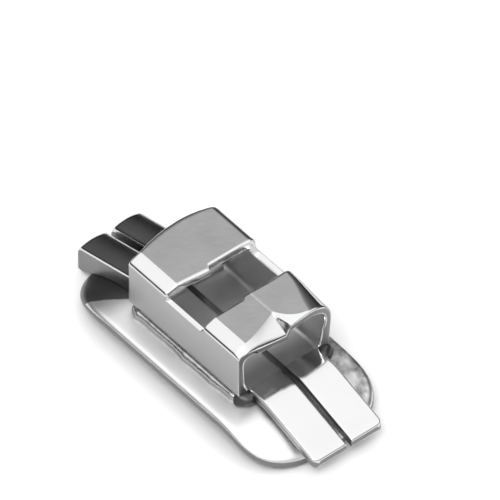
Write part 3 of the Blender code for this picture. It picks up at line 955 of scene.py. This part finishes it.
# Painted shade: the lump's near-black colour stands for the dark corner between the tongue and the wall's
# end.
painted_corner_shade = polished_steel("painted corner shade", (0.087, 0.087, 0.089), (0.34, 0.48), grain=12.0, dent=0.8)
near_bead = braze_bead("near_bead", -1, phase=0.4)
metal_piece("near_bead", near_bead, (frozen_braze, painted_corner_shade), "braze_bead_near", sharpest=60)
far_bead = braze_bead("far_bead", 1, phase=2.1)
metal_piece("far_bead", far_bead, (frozen_braze, painted_corner_shade), "braze_bead_far", sharpest=60)

# Table top: a plain sheet of matt white paper under the part, large enough to have no edge in
# the view. It isn't part of the object.
PAPER_WHITE = 0.92
floor_mesh = bpy.data.meshes.new("white_sheet")
floor_mesh.from_pydata([(-1, -1, 0), (1, -1, 0), (1, 1, 0), (-1, 1, 0)], [], [(0, 1, 2, 3)])
floor = bpy.data.objects.new("white_sheet", floor_mesh)
bpy.context.collection.objects.link(floor)
paper = bpy.data.materials.new("white paper")
paper.use_nodes = True
paper_shader = paper.node_tree.nodes["Principled BSDF"]
paper_shader.inputs["Base Color"].default_value = (PAPER_WHITE, PAPER_WHITE, PAPER_WHITE, 1)
paper_shader.inputs["Roughness"].default_value = 0.9
floor_mesh.materials.append(paper)

# Studio light: a broad white tent overhead, dim towards the horizon and darkest behind the part,
# and one large soft lamp that gives the part its shadow.
TENT_LEAN = (0.3, -0.2, 1)
TENT_BANDS = (
    (0.0, 0.09), (0.28, 0.11), (0.37, 0.24), (0.43, 0.49), (0.47, 0.71), (0.52, 1.35), (1.0, 1.46),
)
HORIZON_LOW = 0.20
HORIZON_HIGH = 0.46
HORIZON_LIGHT = 0.25
LAMP_TURN = (math.radians(25), math.radians(20), 0)
studio = bpy.data.worlds.new("light tent")
bpy.context.scene.world = studio
studio.use_nodes = True
tent = studio.node_tree
direction = tent.nodes.new("ShaderNodeTexCoord")
lean = tent.nodes.new("ShaderNodeVectorMath")
lean.operation = "DOT_PRODUCT"
lean.inputs[1].default_value = Vector(TENT_LEAN).normalized()
tent.links.new(direction.outputs["Generated"], lean.inputs[0])
height = tent.nodes.new("ShaderNodeValToRGB")
height.color_ramp.interpolation = "EASE"
marks = height.color_ramp.elements
for place, level in TENT_BANDS[1:-1]:
    marks.new(place)
for mark, (place, level) in zip(marks, TENT_BANDS):
    mark.color = (level, level, level, 1)
tent.links.new(lean.outputs["Value"], height.inputs["Fac"])
upward = tent.nodes.new("ShaderNodeSeparateXYZ")
tent.links.new(direction.outputs["Generated"], upward.inputs[0])
horizon = tent.nodes.new("ShaderNodeMapRange")
horizon.inputs["From Min"].default_value = HORIZON_LOW
horizon.inputs["From Max"].default_value = HORIZON_HIGH
horizon.inputs["To Min"].default_value = HORIZON_LIGHT
tent.links.new(upward.outputs["Z"], horizon.inputs["Value"])
tent.links.new(horizon.outputs["Result"], tent.nodes["Background"].inputs["Strength"])
tent.links.new(height.outputs["Color"], tent.nodes["Background"].inputs["Color"])

lamp = bpy.data.lights.new("window light", "SUN")
lamp.energy = 1.0
lamp.angle = math.radians(25)
lamp_place = bpy.data.objects.new("window light", lamp)
bpy.context.collection.objects.link(lamp_place)
lamp_place.rotation_euler = LAMP_TURN

# Camera: looking down on the front corner of the part, far enough away to flatten it. It is
# placed by the pixel of the photograph at which the middle of the sheath's floor is seen.
AZIMUTH = math.radians(50.6)
ELEVATION = math.radians(45.8)
ROLL = math.radians(-0.2)
PHOTO_SIZE = 500
PIXELS_PER_MM = 51.9
SHEATH_PIXEL = (228.5, 320.5)
DISTANCE = 0.25
SENSOR = 36
back = Vector((math.sin(AZIMUTH) * math.cos(ELEVATION), -math.cos(AZIMUTH) * math.cos(ELEVATION),
               math.sin(ELEVATION)))
level = Vector((math.cos(AZIMUTH), math.sin(AZIMUTH), 0))
rise = back.cross(level)
right = level * math.cos(ROLL) + rise * math.sin(ROLL)
up = rise * math.cos(ROLL) - level * math.sin(ROLL)
target = Vector(at(0, 0, 0))
target += right * ((PHOTO_SIZE / 2 - SHEATH_PIXEL[0]) / PIXELS_PER_MM * MM)
target += up * ((SHEATH_PIXEL[1] - PHOTO_SIZE / 2) / PIXELS_PER_MM * MM)
view = bpy.data.cameras.new("camera")
view.sensor_width = SENSOR
view.lens = SENSOR * DISTANCE / (PHOTO_SIZE / PIXELS_PER_MM * MM)
view.clip_start = 0.01
camera = bpy.data.objects.new("camera", view)
bpy.context.collection.objects.link(camera)
camera.matrix_world = (Matrix.Translation(target + back * DISTANCE)
                       @ Matrix((right, up, back)).transposed().to_4x4())
bpy.context.scene.camera = camera
bpy.context.scene.view_settings.view_transform = "Standard"
